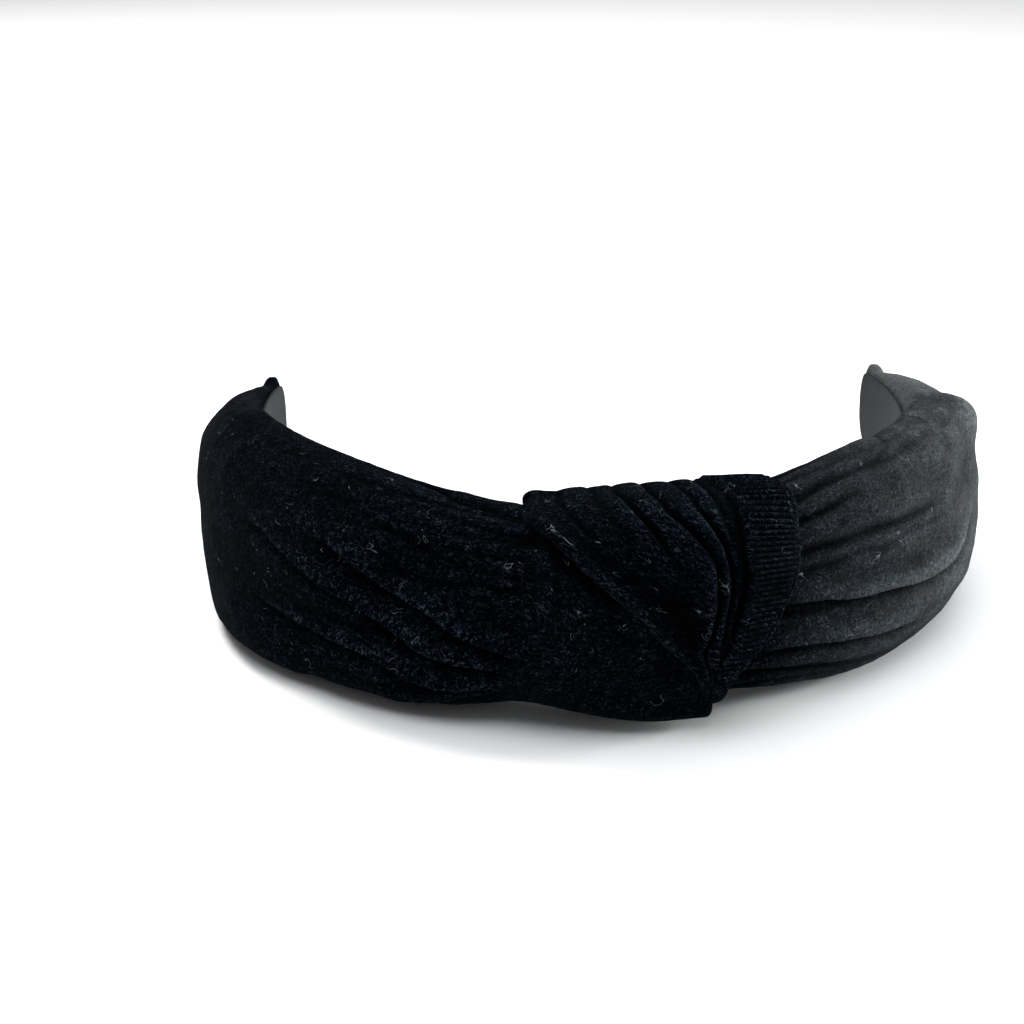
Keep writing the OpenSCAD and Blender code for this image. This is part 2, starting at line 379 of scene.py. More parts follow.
def ribbon():
    """The lining: a dark slate satin ribbon with a fine cross weave."""
    material, nodes, links, shader = new_material("lining_ribbon")
    uv = nodes.new("ShaderNodeTexCoord").outputs["UV"]
    wave = nodes.new("ShaderNodeTexWave")
    wave.bands_direction = "X"
    wave.inputs["Scale"].default_value = math.pi / 10 / (0.45 * UV_PER_MM)
    wave.inputs["Distortion"].default_value = 0.4
    links.new(uv, wave.inputs["Vector"])
    fibre = cloth_noise(nodes, links, uv, 0.25, 2)
    cloud = cloth_noise(nodes, links, uv, 9, 2)
    colour = ramp(nodes, links, cloud, [
        (0.3, (0.012, 0.0140, 0.0155)), (0.7, (0.018, 0.0205, 0.0225)),
    ])
    links.new(colour, shader.inputs["Base Color"])
    rough = link_math(nodes, links, "MULTIPLY", fibre, 0.25)
    links.new(link_math(nodes, links, "ADD", rough, 0.5), shader.inputs["Roughness"])
    shader.inputs["Specular IOR Level"].default_value = 0.05
    shader.inputs["Sheen Weight"].default_value = 0.02
    height = link_math(nodes, links, "ADD", wave.outputs["Fac"], fibre)
    add_bump(nodes, links, shader, height, 0.5, 0.00008)
    return material


def plastic():
    """The core: dark matt moulded plastic."""
    material, nodes, links, shader = new_material("core_plastic")
    place = nodes.new("ShaderNodeTexCoord").outputs["Object"]
    grain = nodes.new("ShaderNodeTexNoise")
    grain.inputs["Scale"].default_value = 900
    grain.inputs["Detail"].default_value = 3
    links.new(place, grain.inputs["Vector"])
    colour = ramp(nodes, links, grain.outputs["Fac"], [
        (0.3, (0.016, 0.016, 0.018)), (0.7, (0.024, 0.024, 0.027)),
    ])
    links.new(colour, shader.inputs["Base Color"])
    shader.inputs["Roughness"].default_value = 0.48
    add_bump(nodes, links, shader, grain.outputs["Fac"], 0.25, 0.00005)
    return material


VELVET_ARM = velvet("velvet_arm", 0.2)
VELVET_KNOT = velvet("velvet_knot", 0.35)
RIBBON = ribbon()
PLASTIC = plastic()

# ---------------------------------------------------------------- the padded arms
COVER_START = 10.0                   # inside the knot, mm along the hoop
END_R = 2.1                          # the turned tip's radius
TIP_OUT = 5.3                        # how far the cover stands out at a tip

# Half the cover's width: the left arm narrows more beside the knot.
HALF_BEYOND = [(FLEX_LEN + 30, 20.8), (CROWN_LEN + 12, 20.8), (CROWN_LEN + 34, 16),
               (BAND_LEN - 18, 11.5), (BAND_LEN, 8.5)]
LEFT_HALF = [(COVER_START, 15.6), (FLEX_LEN - 4, 16.6), (FLEX_LEN + 4, 18.2),
             (FLEX_LEN + 14, 19.7)] + HALF_BEYOND
RIGHT_HALF = [(COVER_START, 17.4), (FLEX_LEN - 4, 18.3), (FLEX_LEN + 4, 18.8),
              (FLEX_LEN + 14, 19.9)] + HALF_BEYOND

# The lower half's width, as a share of the upper half's.
LEFT_LOWER = [(FLEX_LEN, 1.13), (FLEX_LEN + 22, 1.0)]
RIGHT_LOWER = [(FLEX_LEN, 1.03), (FLEX_LEN + 12, 1.0), (CROWN_LEN, 0.94), (CROWN_LEN + 24, 1.0)]


def cover_half(s, pairs):
    """Half the cover's width at s, drawn in a little over the last 5 mm."""
    u = np.maximum(0, (s - BAND_LEN + 5) / 5)
    return (1 - 0.14 * u * u) * table(s, pairs)


# How far each arm's cover stands out, and how far it sags outward low down.
LEFT_REACH = [(COVER_START, 21.3), (FLEX_LEN - 3, 21.0), (FLEX_LEN + 8, 20.0), (FLEX_LEN + 30, 18.4),
              (CROWN_LEN + 14, 17.0), (CROWN_LEN + 46, 11.2), (BAND_LEN - 12, 6.4), (BAND_LEN, TIP_OUT)]
RIGHT_REACH = [(COVER_START, 17.5), (FLEX_LEN - 3, 19.3), (FLEX_LEN + 8, 19.3), (FLEX_LEN + 30, 18.0),
               (CROWN_LEN + 14, 17.0), (CROWN_LEN + 46, 11.2), (BAND_LEN - 12, 6.4), (BAND_LEN, TIP_OUT)]
LEFT_SAG = [(COVER_START, 1.0), (FLEX_LEN, 3.4), (FLEX_LEN + 20, 4.6), (CROWN_LEN, 4.0), (CROWN_LEN + 30, 0)]
RIGHT_SAG = [(COVER_START, 0), (FLEX_LEN + 10, 0.6), (CROWN_LEN + 20, 0)]


def tip_lift(s):
    """The arms rise a little towards their tips."""
    return 2.0 * smooth(np.abs(s), 85, BAND_LEN)


def groove(d, depth, width):
    """A crease with a tight bottom and softly rising sides."""
    return -depth * np.exp(-(np.sqrt(d * d + 0.04) - 0.2) / width)


def fold(d, up, down, w_up, w_down, soft=0.35):
    """A fold lying over what is below it: a roll above its edge and a drop below it."""
    over = smooth(d, -soft, soft)
    roll = up * np.exp(-(np.maximum(d, 0) / w_up) ** 2)
    drop = -down * np.exp(np.minimum(d, 0) / w_down)
    return drop * (1 - over) + roll * over


# Each line: (distance s, section angle q) pairs from the knot outward, then a kind and its sizes.
# fold sizes: up, down, w_up, w_down.  groove sizes: depth, width.  Then the fade-out (from, to).
LEFT_LINES = [
    ([(13, -12), (15, -10), (20.8, -3), (27, 6), (34, 14), (44, 24)], "fold",
     (1.3, 2.2, 4.0, 2.6), (30, 48)),
    ([(13, -27), (15, -25), (26, -13), (32, -3), (40.8, 3), (48.8, 11), (60, 17)], "fold",
     (1.2, 1.7, 3.4, 2.8), (40, 66)),
    ([(13, -38), (24.8, -32), (32, -23), (40.5, -18), (48.5, -14), (60, -10)], "fold",
     (1.1, 1.5, 3.2, 2.6), (36, 64)),
    ([(13, -56), (20, -60), (32.5, -74), (46.5, -71), (60, -66)], "groove", (1.2, 1.6), (34, 60)),
    ([(13, 26), (24, 33), (40, 45)], "groove", (1.1, 1.5), (22, 42)),
    ([(13, 60), (26, 66), (40, 70)], "groove", (0.9, 1.3), (20, 38)),
    ([(13, 84), (30, 92), (50, 96)], "groove", (1.1, 1.4), (24, 48)),
    ([(13, -86), (30, -96), (44, -99)], "groove", (0.9, 1.2), (22, 42)),
]
RIGHT_LINES = [
    ([(13, 2), (28, 1), (34, -1), (39.5, -3), (47, -5), (60.5, -6), (66.5, -3), (76, 1)], "fold",
     (1.3, 2.3, 3.6, 3.0), (50, 78)),
    ([(13, 20), (28.5, 22), (38, 23.5), (49, 21), (54, 22), (64, 26)], "groove", (1.7, 1.9), (40, 64)),
    ([(13, -17), (24.5, -20), (34.5, -21), (41, -25), (56, -31)], "fold", (0.9, 1.5, 3.4, 2.4), (32, 56)),
    ([(13, 40), (29.8, 46), (34.5, 50), (42, 55)], "groove", (1.3, 1.1), (26, 42)),
    ([(13, 60), (29, 64), (33.5, 73), (40, 82)], "groove", (1.2, 1.1), (24, 40)),
    ([(13, -42), (26, -46), (44, -55), (60, -60)], "groove", (1.3, 1.6), (30, 60)),
    ([(13, -70), (28, -76), (44, -84)], "groove", (1.1, 1.3), (24, 48)),
    ([(13, 90), (30, 97), (50, 100)], "groove", (1.1, 1.3), (24, 48)),
    ([(46, 74), (54, 92), (58, 112)], "groove", (0.3, 1.2), (54, 60)),
    ([(62, 70), (68, 90), (71, 110)], "groove", (0.25, 1.2), (68, 74)),
]


# Soft bulges and hollows: distance s, section angle q, height, half size along s and across q.
LEFT_BULGES = [(40, 30, 0.6, 10, 20), (62, -30, 0.7, 12, 20)]
RIGHT_BULGES = [(83, 50, 2.0, 7, 22), (75, 16, -1.5, 9, 22), (62, -14, 0.8, 10, 16)]

LEFT_SEED, RIGHT_SEED = 101, 202     # fix each arm's small gathers and unevenness
KNOT_GATHERS, TIP_GATHERS = 17, 9    # small creases at each end of an arm


def round_end(s, z):
    """The tip's outline is rounded: its corners lie further back than its middle."""
    corner = np.clip(np.abs(z) / 8, 0, 1.1) ** 2.2 * np.where(z > 0, 0.5, 1)
    return s - 2.8 * smooth(s, BAND_LEN - 14, BAND_LEN) * corner


def cover(name, side, widths, lower, reach, sag, lines, bulges, seed):
    """One padded arm of the tube, from inside the knot to its turned-in tip."""
    rows, count = 430, 320
    s = np.linspace(COVER_START, BAND_LEN - END_R, rows)
    turn = np.linspace(0, math.pi / 2, 13)[1:]
    s_all = np.concatenate([s, BAND_LEN - END_R + END_R * np.sin(turn)])
    inset = np.concatenate([np.zeros(rows), END_R * (1 - np.cos(turn))])
    o, z, q, e = (np.zeros((len(s_all), count)) for _ in range(4))
    length = np.zeros(len(s_all))
    for i, (si, wall) in enumerate(zip(s_all, inset)):
        half = cover_half(np.float64(min(si, BAND_LEN)), widths) - wall
        far = table(np.float64(min(si, BAND_LEN)), reach) - wall
        o[i], z[i], q[i], e[i], length[i] = section(COVER_IN + wall, far, half, count)
    n_o, n_z = normals(o, z)
    n_o, n_z = blur_rows(n_o, 6), blur_rows(n_z, 6)
    grid_s = np.repeat(s_all[:, None], count, 1)
    push = np.zeros_like(o)
    slide = np.zeros_like(o)
    for k, (line, kind, sizes, fade) in enumerate(lines):
        q_line = table(s_all, line)
        e_line = np.array([np.interp(a, b, c) for a, b, c in zip(q_line, q, e)])
        e_line += 0.5 * noise(s_all / 7, 0.5, seed + k)
        d = e - e_line[:, None]
        amount = (1 - smooth(s_all, *fade)) * (0.85 + 0.3 * noise(s_all / 9, 3.5, seed + k))
        if kind == "fold":
            push += amount[:, None] * fold(d, *sizes)
            slide -= amount[:, None] * 0.7 * sizes[0] * np.exp(-((d - 0.5) / 1.1) ** 2)
        else:
            push += amount[:, None] * groove(d, *sizes)
    # small gathers where the tube goes into the knot, and a few at the tip
    rng = np.random.RandomState(seed)
    for k in range(KNOT_GATHERS):
        q_k = -165 + 330 * (k + 0.6 * rng.rand()) / KNOT_GATHERS
        reach_k = 9 + 16 * rng.rand()
        depth = 0.35 + 0.5 * rng.rand()
        e_line = np.array([np.interp(q_k, b, c) for b, c in zip(q, e)])
        e_line += 0.6 * noise(s_all / 6, k, seed)
        amount = np.exp(-np.maximum(s_all - FLEX_LEN, 0) / reach_k)
        push += amount[:, None] * groove(e - e_line[:, None], depth, 0.9)
    for k in range(TIP_GATHERS):
        q_k = -150 + 300 * (k + 0.6 * rng.rand()) / TIP_GATHERS
        e_line = np.array([np.interp(q_k, b, c) for b, c in zip(q, e)])
        amount = np.exp(-np.maximum(BAND_LEN - s_all, 0) / (5 + 6 * rng.rand()))
        push += amount[:, None] * groove(e - e_line[:, None], 0.25, 0.7)
    # no folds at the section's back, where the two long edges meet under the lining
    face = smooth(o, COVER_IN + 0.4, COVER_IN + 3)
    slack = 1 - smooth(s_all, BAND_LEN - 40, BAND_LEN - 6)[:, None]
    push += slack * (0.55 * noise(grid_s / 15, e / 11, seed + 40)
                     + 0.22 * noise(grid_s / 5, e / 4.5, seed + 41))
    push += 0.05 * noise(grid_s / 1.6, e / 1.4, seed + 42)
    for s_mid, q_mid, height, s_half, q_half in bulges:
        push += height * np.exp(-((grid_s - s_mid) / s_half) ** 2 - ((q - q_mid) / q_half) ** 2)
    push *= face * (1 - 0.9 * (inset[:, None] / END_R))
    new_o = o + n_o * push - n_z * slide * face
    new_z = z + n_z * push + n_o * slide * face
    new_z = np.where(new_z < 0, new_z * table(grid_s, lower), new_z)
    # low down the cloth sags outward
    new_o = new_o + table(s_all, sag)[:, None] * np.exp(-((q + 58) / 34) ** 2)
    new_o = np.maximum(new_o, COVER_IN - 0.05)
    floor = -MID_Z
    new_z = np.where(new_z < floor + 0.4, floor + 0.4 * np.exp((new_z - floor - 0.4) / 0.4), new_z)
    # the cloth's folded corner stands up at the tip
    corner = smooth(grid_s, BAND_LEN - 8, BAND_LEN) * smooth(new_z, 3.5, 8.5)
    points = at_hoop(side * (round_end(grid_s, new_z) - 2.2 * corner), new_o,
                     new_z + 2.6 * corner + tip_lift(grid_s))
    verts, faces, uvs = loft(points[:, :-1], side * grid_s[:, :-1], e[:, :-1])
    if side < 0:
        faces, uvs = faces[:, ::-1], uvs[:, ::-1]
    # painted shade: the folds' relief, from which the material paints crests paler and creases darker
    painted_fold_light = relief(push)[:, :-1]
    return make_mesh(name, verts, faces, uvs, VELVET_ARM, painted_fold_light)


# ---------------------------------------------------------------- the knot's two passes
KNOT_UV_SHIFT = -300                 # keeps the knot's cloth apart from the arms' in the material


def knot_ring(q_from, q_to, rows):
    """Points of the knot's section from one section angle to another, evenly spaced."""
    o, z, q, e, _ = section(1.0, KNOT_PUFF, KNOT_HALF_W, 2401)
    n_o, n_z = normals(o, z)
    n_o, n_z = blur_rows(n_o, 60), blur_rows(n_z, 60)
    e_from, e_to = np.interp([q_from, q_to], q, e)
    want = np.linspace(e_from, e_to, rows)
    return [np.interp(want, e, a) for a in (o, z, n_o, n_z, q)] + [want]


def band(left, right, depth, shade, thick_left, thick_right, rows, across, q_from, q_to):
    """A thick pass of cloth round the knot, between crown angles left(q) and right(q), in degrees.

    depth(x, width, u, q) is how deep its face lies under the knot's outline, in mm."""
    o, z, n_o, n_z, q, e = knot_ring(q_from, q_to, rows)
    lo, hi = left(q)[:, None], right(q)[:, None]
    # closely spaced at both edges, where the section is round
    t = np.linspace(0, 1, across)
    u_out = t - 0.55 * np.sin(2 * math.pi * t) / (2 * math.pi)
    u_in = u_out[::-1][2:-2:3]
    r_mid = GRIP_R + 0.8 * o[:, None]
    width = np.radians(hi - lo) * r_mid

    def face(u):
        x = u[None, :] * width
        thick_l = np.minimum(thick_left, width * 0.45)
        thick_r = np.minimum(thick_right, width * 0.45)
        rest = width - x
        drop_l = thick_l - np.sqrt(np.maximum(thick_l ** 2 - np.maximum(thick_l - x, 0) ** 2, 0))
        drop_r = thick_r - np.sqrt(np.maximum(thick_r ** 2 - np.maximum(thick_r - rest, 0) ** 2, 0))
        body = thick_l + (thick_r - thick_l) * u[None, :]
        return depth(x, width, u[None, :], q[:, None]), drop_l + drop_r, 2 * body

    d_out, drop_out, _ = face(u_out)
    d_in, drop_in, thick = face(u_in)
    d_all = np.concatenate([d_out + drop_out, d_in + thick - drop_in], 1)
    u_all = np.concatenate([u_out, u_in])
    phi = lo + (hi - lo) * u_all[None, :]
    new_o = o[:, None] - n_o[:, None] * d_all
    new_z = z[:, None] - n_z[:, None] * d_all
    new_o = np.maximum(new_o, 0.95)
    new_z = np.maximum(new_z, -MID_Z)
    points = at_hoop(np.radians(phi) * GRIP_R, new_o, new_z)
    x_all = u_all[None, :] * width
    # painted light and shade: highlights and shade from shade(), added to the pass's relief for the material
    painted_light_extra = shade(u_out[None, :] * width, width, u_out[None, :], q[:, None])
    painted_fold_light = np.concatenate([relief(-d_out) + painted_light_extra, np.zeros_like(d_in)], 1)
    return points, x_all, np.repeat(e[:, None], x_all.shape[1], 1), painted_fold_light


ROWS_OVER, ROWS_UNDER = 760, 470      # rows of points along each pass
ACROSS_OVER, ACROSS_UNDER = 240, 200  # points across each pass's face
PASS_FROM, PASS_TO = 150, -150        # section angles where the passes are tucked in at the back
UNDER_FROM = 80                       # section angle where the under pass starts, under the over pass


def unrolled(face, e):
    """A pass's greatest width, its length and its area when its face is unrolled, in metres."""
    width = np.linalg.norm(np.diff(face, axis=1), axis=2).sum(1)
    steps = np.abs(np.diff(e))
    area = ((width[1:] + width[:-1]) / 2 * steps).sum()
    return width.max() * MM, steps.sum() * MM, area * MM * MM


def over_left(q):
    """Crown angle of the over pass's left edge, in degrees."""
    return table(-q, [(-150, -13.2), (-120, -13), (-90, -12.3), (-73, -11), (-64, -10), (-32, -4.8),
                      (-12, 0), (0, 3.8), (9, 6.8), (19, 8.8), (30, 9.8), (50, 10.6), (150, 12)])


def over_right(q):
    """Crown angle of the over pass's right edge, in degrees."""
    return table(-q, [(-150, 19.5), (-110, 22), (-84, 24.6), (-69, 24.4), (-43, 23.6),
                      (-25, 23.0), (-10, 21.9), (2, 19.3), (12, 16.4), (21, 14.3),
                      (30, 13.3), (50, 13.0), (150, 14)])


# Rolls of the over pass: where each lies across the pass at each q, its height at each q, its
# half width, and the depth of the crease to its right.
OVER_ROLLS = [
    ([(-90, 0.11), (0, 0.11)], [(-110, 0.2), (-80, 0.4), (-56, 0.5), (-42, 0)], 1.4, 2.2),
    ([(-90, 0.225), (0, 0.245)], [(-120, 0.3), (-88, 0.35), (-70, 0.2), (-50, 0)], 1.6, 1.2),
    ([(-90, 0.32), (-50, 0.345), (-30, 0.353), (0, 0.33)],
     [(-110, 0.2), (-84, 0.45), (-56, 0.9), (-34, 0.25), (-15, 0)], 1.7, 1.8),
    ([(-90, 0.43), (-64, 0.45), (-30, 0.505), (-10, 0.44), (0, 0.36), (10, 0.22)],
     [(-110, 0.2), (-84, 0.45), (-50, 0.9), (-30, 1.1), (0, 1.0), (10, 0.6), (20, 0.2)], 1.9, 2.0),
    ([(-90, 0.56), (-30, 0.589), (-10, 0.53), (0, 0.47), (10, 0.40)],
     [(-110, 0.2), (-84, 0.45), (-50, 0.8), (-30, 0.9), (-8, 0.7), (6, 0.3), (20, 0)], 1.6, 1.9),
    ([(-90, 0.655), (-50, 0.645), (-10, 0.60)], [(-110, 0.3), (-80, 0.5), (-44, 0.5), (-20, 0)], 1.2, 1.0),
]


def over_depth(x, width, u, q):
    """Depth of the over pass's face, where its ribs show, and the light and shade painted into its colour.
    """
    # the knot thins to both sides and to the tucked ends
    phi = over_left(q) + (over_right(q) - over_left(q)) * u
    thinner = 2.0 * smooth(phi, 12, 20) + 2.4 * smooth(phi, 19, 26)
    depth = 0.5 + thinner * (1 - 0.75 * smooth(q, 45, 80) * (1 - smooth(q, 95, 120)))
    depth = depth + 0.8 * smooth(-phi, 3, 14)
    depth = depth + 2.4 * smooth(-phi, -4, 13) * smooth(q, 35, 80)
    scale = np.clip(width / 34, 0.12, 1)
    depth -= 0.9 * scale * np.exp(-((x - 1.9 * scale) / (1.5 * scale)) ** 2)
    depth += 0.5 * scale * np.exp(-((x - 5.0 * scale) / (2.4 * scale)) ** 2)
    for place, height, wide, drop in OVER_ROLLS:
        d = (x - table(-q, place) * width) / scale + 0.5 * noise(q / 13, 0.5, int(31 + 10 * wide))
        h = table(-q, height) * (0.9 + 0.3 * noise(q / 17, 0.5, int(57 + 10 * wide)))
        depth -= h * np.exp(-(d / np.where(d < 0, 1.7 * wide, 0.8 * wide)) ** 2)
        depth += h * drop * np.exp(-((d - 1.15 * wide) / 0.62) ** 2)
    # the deep groove before the ribbed edge strip, and the strip's flat face
    edge = table(-q, [(-90, 0.745), (-64, 0.743), (-30, 0.709), (-10, 0.665), (2, 0.59), (10, 0.5),
                      (20, 0.38)]) * width
    d = x - edge
    deep = table(-q, [(-110, 0.3), (-80, 0.8), (-50, 1.8), (-10, 2.2), (5, 1.4), (20, 0.3)])
    depth += deep * np.exp(np.minimum(d, 0) / (2.2 * scale)) * (1 - smooth(d, -0.2 * scale, 0.7 * scale))
    depth -= 0.5 * smooth(d, -0.2, 0.9) * scale
    # the valley low down between the folded edge and the long crest
    depth += 1.3 * np.exp(-((u - 0.24) / 0.12) ** 2) * np.exp(-((q - 8) / 17) ** 2)
    # the gathered cloth piles up where the pass narrows
    depth -= 1.0 * np.exp(-((q + 14) / 12) ** 2)
    # the tail turns in under the knot
    depth += 1.6 * smooth(-q, 34, 60)
    depth -= 0.9 * np.exp(-((u - 0.16) / 0.09) ** 2) * smooth(q, 55, 80)
    # where the stretched edge strip shows its ribs
    rest = width - x
    hem = smooth(-q, -88, -70) * (1 - smooth(-q, 14, 30))
    low_hem = hem * smooth(-q, -20, -5)
    depth += (0.1 * hem + 0.35 * low_hem) * np.exp(-((rest - 1.5) / 0.35) ** 2)
    depth += (0.15 * hem + 0.4 * low_hem) * (1 - smooth(rest, 1.1, 1.9))
    ribs = smooth(d, 0.2, 1.0) * smooth(rest, 0.1 + 1.1 * hem, 0.6 + 1.3 * hem)
    # at the back both ends lie close to the core's edges
    depth *= 1 - 0.9 * smooth(np.abs(q), 98, 128) * (1 - smooth(phi, 10, 18))
    # painted light and shade for the material: a painted highlight on the folded edge, painted shade in the
    # valley, a paler edge strip with a painted highlight along its hem
    light = 0.22 * np.exp(-((x - 1.2 * scale) / (1.3 * scale)) ** 2) * smooth(-q, -70, -50)
    light = light - 0.45 * np.exp(-((u - 0.27) / 0.13) ** 2) * np.exp(-((q - 4) / 15) ** 2)
    light = light + 0.06 * ribs + 0.38 * hem * (1 - smooth(rest, 0.9, 1.5))
    return depth, ribs, light


def build_over():
    q, e = knot_ring(PASS_FROM, PASS_TO, ROWS_OVER)[4:]
    # the edge strip's ribs lie wider apart towards the top, where it is stretched most
    spacing = table(-q, [(-90, 1.4), (-50, 1.24), (-25, 1.06), (-5, 1.0), (30, 1.0)])
    rib_count = np.concatenate([[0], np.cumsum(np.abs(np.diff(e)) / spacing[1:])])

    def rib_wave(x):
        return np.sin(2 * math.pi * (rib_count[:, None] - 0.05 * x / RIB_MM))

    def depth(x, width, u, q_grid):
        d, ribs, _ = over_depth(x, width, u, q_grid)
        d = d - 0.27 * ribs * rib_wave(x) * smooth(q_grid, -35, -12)
        d = d + 0.16 * noise(x / 6, e[:, None] / 7, 301) + 0.04 * noise(x / 1.5, e[:, None] / 1.6, 302)
        return d

    def shade(x, width, u, q_grid):
        _, ribs, light = over_depth(x, width, u, q_grid)
        # painted shade and highlight across the ribs: rib crests paler, the hollows between them darker
        return light + 0.14 * ribs * rib_wave(x) * smooth(q_grid, -35, -12)

    points, across, along, painted_fold_light = band(over_left, over_right, depth, shade, 1.45, 1.05,
                                        ROWS_OVER, ACROSS_OVER, PASS_FROM, PASS_TO)
    flat = unrolled(points[:, :ACROSS_OVER], e)
    verts, faces, uvs = loft(points, along + KNOT_UV_SHIFT, across)
    return make_mesh("knot_over_pass", verts, faces, uvs, VELVET_KNOT, painted_fold_light), flat


def under_left(q):
    """Crown angle of the under pass's left edge, in degrees."""
    return table(-q, [(-80, -16), (-40, -14.5), (-25, -13.6), (-12, -12.8), (-4, -11.2),
                      (4, -10.4), (10, -11.0), (18, -12.4), (34, -13.6), (60, -14.6), (150, -15.5)])


def under_right(q):
    """Crown angle of the under pass's right edge, in degrees."""
    return table(-q, [(-80, -3), (-64, -3), (-32, 1), (-12, 5), (0, 9), (9, 10.5), (19, 11.5),
                      (30, 11.5), (50, 11.8), (150, 12.5)])


def under_depth(x, width, u, q):
    """Depth of the under pass's face."""
    phi = under_left(q) + (under_right(q) - under_left(q)) * u
    depth = 2.7 + 0.8 * smooth(-phi, 4, 12)
    # the pass bellies out low down, where it rests
    depth -= 1.2 * np.exp(-((phi + 1) / 7) ** 2) * np.exp(-((q + 16) / 26) ** 2)
    depth -= 3.0 * smooth(phi, -12, 6) * np.exp(-((q + 52) / 22) ** 2)
    # over the upper arm its edge sinks into the arm's own cloth
    depth += 7.0 * smooth(-phi, 7.6, 13) * smooth(q, -2, 12)
    depth += 2.0 * smooth(-phi, 4, 16) * smooth(q, 30, 75)
    # soft pull lines towards the place where both passes gather
    for q_c, amp, w in ((-34, 0.5, 7), (-4, 0.35, 6), (22, 0.5, 8)):
        centre = q_c - 1.1 * (phi - 2)
        depth += amp * np.exp(-((q - centre) / w) ** 2) * smooth(phi, -12, 2)
    return depth


def build_under():
    e = knot_ring(UNDER_FROM, PASS_TO, ROWS_UNDER)[5]

    def depth(x, width, u, q_grid):
        d = under_depth(x, width, u, q_grid)
        return d + 0.2 * noise(x / 7, e[:, None] / 8, 311) + 0.04 * noise(x / 1.5, e[:, None] / 1.6, 312)

    def shade(x, width, u, q_grid):
        # painted shadow under the over pass's folded edge: the under pass's colour is darkened along it
        phi = under_left(q_grid) + (under_right(q_grid) - under_left(q_grid)) * u
        gap = over_left(q_grid) - phi
        return -0.75 * (1 - smooth(gap, 0.8, 2.8)) * smooth(q_grid, 4, 24)

    points, across, along, painted_fold_light = band(under_left, under_right, depth, shade, 1.25, 1.0,
                                        ROWS_UNDER, ACROSS_UNDER, UNDER_FROM, PASS_TO)
    flat = unrolled(points[:, :ACROSS_UNDER], e)
    verts, faces, uvs = loft(points, along + KNOT_UV_SHIFT, across)
    return make_mesh("knot_under_pass", verts, faces, uvs, VELVET_KNOT, painted_fold_light), flat


# ---------------------------------------------------------------- the lining
LINING_HALF = 12.0
LINING_TIP_HALF = 8.0
LINING_END = BAND_LEN - 2.5
LINING_CORNER = 1.8                  # the length over which the ribbon's end is rounded


def ribbon_corner(s):
    """0 along the ribbon, rising to 1 over its rounded end."""
    return np.clip((s - LINING_END + LINING_CORNER) / LINING_CORNER, 0, 1)


def ribbon_half(s):
    """Half the ribbon's width: even round the crown, then tapering along the arm."""
    y = at_hoop(s, 0 * s, 0 * s)[..., 1] - HOOP_Y
    y_a = -GRIP_R * math.cos(CROWN_HALF)
    y_b = ARM_CY - ARM_R * math.cos(TIP_ANGLE)
    half = LINING_HALF + (LINING_TIP_HALF - LINING_HALF) * np.clip((y - y_a) / (y_b - y_a), 0, 1)
    return half - 1.2 * (1 - np.sqrt(1 - ribbon_corner(s) ** 2))


def lining(name, side):
    """Half of the lining ribbon, from the crown's middle to near the tip."""
    rows, across = 300, 40
    s = np.linspace(0, LINING_END, rows)
    half = ribbon_half(s)
    t = np.linspace(-1, 1, across)
    t = np.sin(t * math.pi / 2)
    edge = np.abs(t) ** 8
    pucker = 0.06 * noise(s[:, None] / 2.2, 0.5 + 0 * t[None, :], 401) * np.abs(t[None, :]) ** 3
    top = 0.12 + 0.33 * edge[None, :] + pucker + 0.05 * noise(s[:, None] / 12, t[None, :] * 2, 402)
    top = top + 0.3 * ribbon_corner(s)[:, None] ** 3
    low = np.full_like(top, 1.02)
    zz = half[:, None] * t[None, :]
    loop_o = np.concatenate([top, low[:, ::-1]], 1)
    loop_z = np.concatenate([zz, zz[:, ::-1]], 1)
    loop_s = np.repeat(s[:, None], 2 * across, 1)
    points = at_hoop(side * round_end(loop_s, loop_z), loop_o, loop_z + tip_lift(loop_s))
    verts, faces, uvs = loft(points, loop_s, loop_z)
    if side > 0:
        faces, uvs = faces[:, ::-1], uvs[:, ::-1]
    return make_mesh(name, verts, faces, uvs, RIBBON)


cover_left = cover("velvet_arm_left", -1, LEFT_HALF, LEFT_LOWER, LEFT_REACH, LEFT_SAG,
                   LEFT_LINES, LEFT_BULGES, LEFT_SEED)
cover_right = cover("velvet_arm_right", 1, RIGHT_HALF, RIGHT_LOWER, RIGHT_REACH, RIGHT_SAG,
                    RIGHT_LINES, RIGHT_BULGES, RIGHT_SEED)
over_pass, over_flat = build_over()
under_pass, under_flat = build_under()
lining_left = lining("lining_ribbon_left", -1)
lining_right = lining("lining_ribbon_right", 1)


for obj, arm, side in ((cover_left, "left_arm", -1), (cover_right, "right_arm", 1),
                       (lining_left, "left_arm", -1), (lining_right, "right_arm", 1)):
    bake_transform(obj)
for obj in (over_pass, under_pass):
    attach(obj, "crown")

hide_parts("velvet_cover_left", "padding_left")
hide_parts("velvet_cover_right", "padding_right")
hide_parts("knot_over_wrap", "knot_stuffing")
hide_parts("knot_under_wrap")
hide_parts("lining_left_arm", "lining_crown")
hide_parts("lining_right_arm")

# each pass is declared at the size its own shape unrolls to, so its area is no separate measure
for node in ("core_crown", "core_left_arm", "core_right_arm"):
    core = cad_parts[node]
    core.data.materials.clear()
    core.data.materials.append(PLASTIC)

# ---------------------------------------------------------------- camera, light, floor
CENTRE = Vector((0, HOOP_Y * MM, MID_Z * MM))


def direction(azimuth, elevation):
    """Unit vector from the hoop's centre; azimuth 0 is the knot's side, 90 the right."""
    a, e = math.radians(azimuth), math.radians(elevation)
    return Vector((math.sin(a) * math.cos(e), -math.cos(a) * math.cos(e), math.sin(e)))


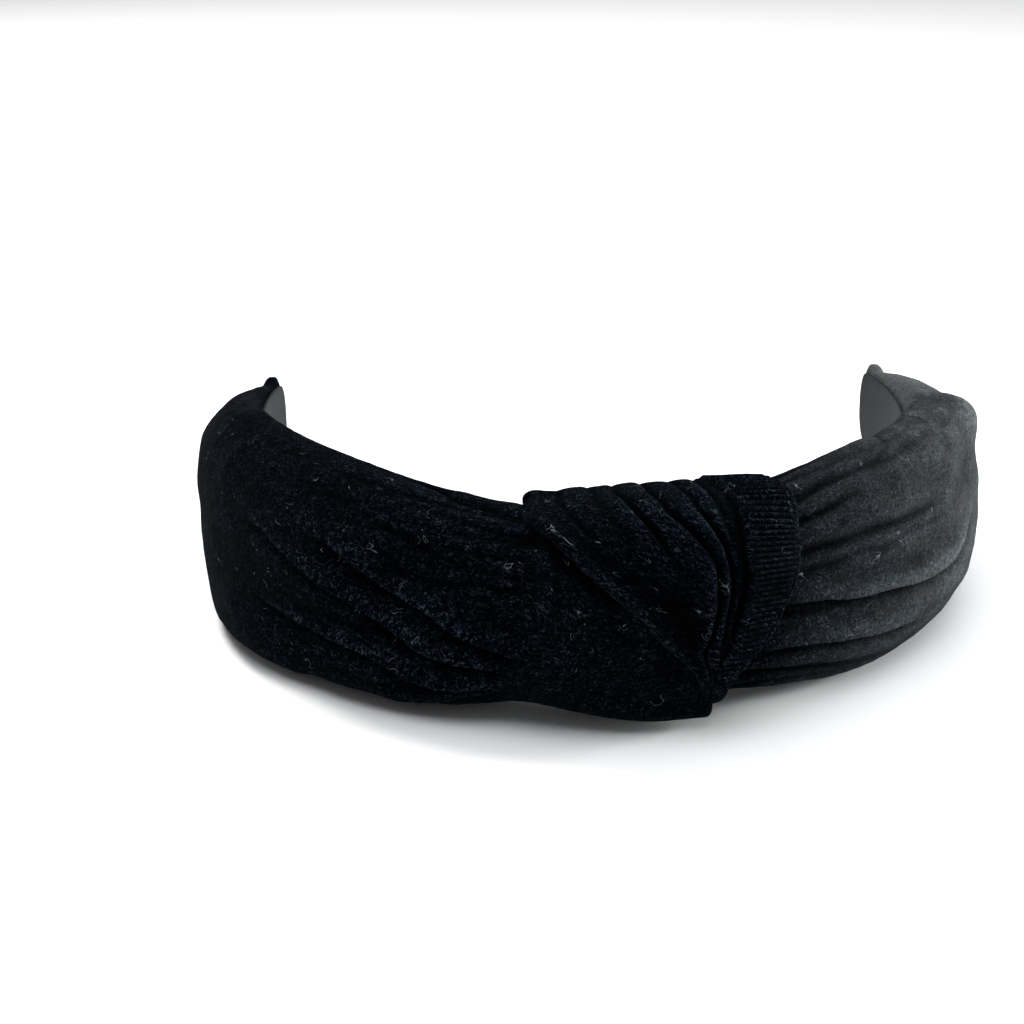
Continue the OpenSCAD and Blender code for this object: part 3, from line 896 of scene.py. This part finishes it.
VIEW_AZ, VIEW_EL, VIEW_DISTANCE = -1.74, 19.31, 0.4355
VIEW_RIGHT, VIEW_UP = -0.0152, -0.0074       # where the view's middle lies from the hoop's centre
TILT_SIDE, TILT_FRONT = math.radians(-0.79), math.radians(-0.39)
SENSOR_MM, LENS_MM = 36, 73.9


def add_camera():
    """The photograph's view: round the hoop, then tilted a little against it."""
    data = bpy.data.cameras.new("camera")
    camera = bpy.data.objects.new("camera", data)
    bpy.context.scene.collection.objects.link(camera)
    a = math.radians(VIEW_AZ)
    back = direction(VIEW_AZ, VIEW_EL)
    right = Vector((math.cos(a), math.sin(a), 0))
    up = back.cross(right)
    place = back * VIEW_DISTANCE + right * VIEW_RIGHT + up * VIEW_UP
    tilt = (Matrix.Rotation(TILT_SIDE, 3, "Y") @ Matrix.Rotation(TILT_FRONT, 3, "X")).transposed()
    axes = Matrix((tilt @ right, tilt @ up, tilt @ back)).transposed()
    camera.matrix_world = Matrix.Translation(CENTRE + tilt @ place) @ axes.to_4x4()
    data.sensor_width = SENSOR_MM
    data.lens = LENS_MM
    data.clip_start, data.clip_end = 0.01, 50
    bpy.context.scene.camera = camera


def add_light(name, azimuth, elevation, distance, size, power_w, colour, spread=180, aim=(0, 0, 0)):
    data = bpy.data.lights.new(name, "AREA")
    data.shape = "DISK"
    data.size = size
    data.energy = power_w
    data.color = colour
    data.spread = math.radians(spread)
    obj = bpy.data.objects.new(name, data)
    bpy.context.scene.collection.objects.link(obj)
    back = direction(azimuth, elevation)
    obj.location = CENTRE + back * distance
    obj.rotation_mode = "QUATERNION"
    obj.rotation_quaternion = (Vector(aim) - back * distance).to_track_quat("-Z", "Y")


def add_floor():
    """A plain pale floor, as one grid of quads."""
    half, steps = 3.0, 24
    line = np.linspace(-half, half, steps + 1)
    x, y = np.meshgrid(line, line, indexing="ij")
    verts = np.stack([x, y, np.zeros_like(x)], -1).reshape(-1, 3) / MM
    i, j = np.meshgrid(np.arange(steps), np.arange(steps), indexing="ij")
    a = i * (steps + 1) + j
    faces = np.stack([a, a + steps + 1, a + steps + 2, a + 1], -1).reshape(-1, 4)
    material, nodes, links, shader = new_material("floor")
    shader.inputs["Base Color"].default_value = (0.93, 0.93, 0.93, 1)
    shader.inputs["Roughness"].default_value = 0.9
    shader.inputs["Specular IOR Level"].default_value = 0.1
    obj = make_mesh("floor", verts, faces, verts[faces][..., :2], material)


add_camera()
add_floor()
add_light("key", -142, 52, 1.3, 0.45, 15, (1.0, 0.99, 0.97))
add_light("right_side", 97, 7, 0.5, 0.16, 1.25, (0.97, 1.0, 1.0), spread=100, aim=(0, 0.01, 0.03))
add_light("overhead", 10, 82, 1.6, 2.0, 26, (0.98, 0.99, 1.0))

world = bpy.data.worlds.new("world")
bpy.context.scene.world = world
world.use_nodes = True
background = world.node_tree.nodes["Background"]
background.inputs["Color"].default_value = (0.95, 0.97, 1.0, 1)
background.inputs["Strength"].default_value = 0.25
bpy.context.scene.view_settings.view_transform = "Standard"
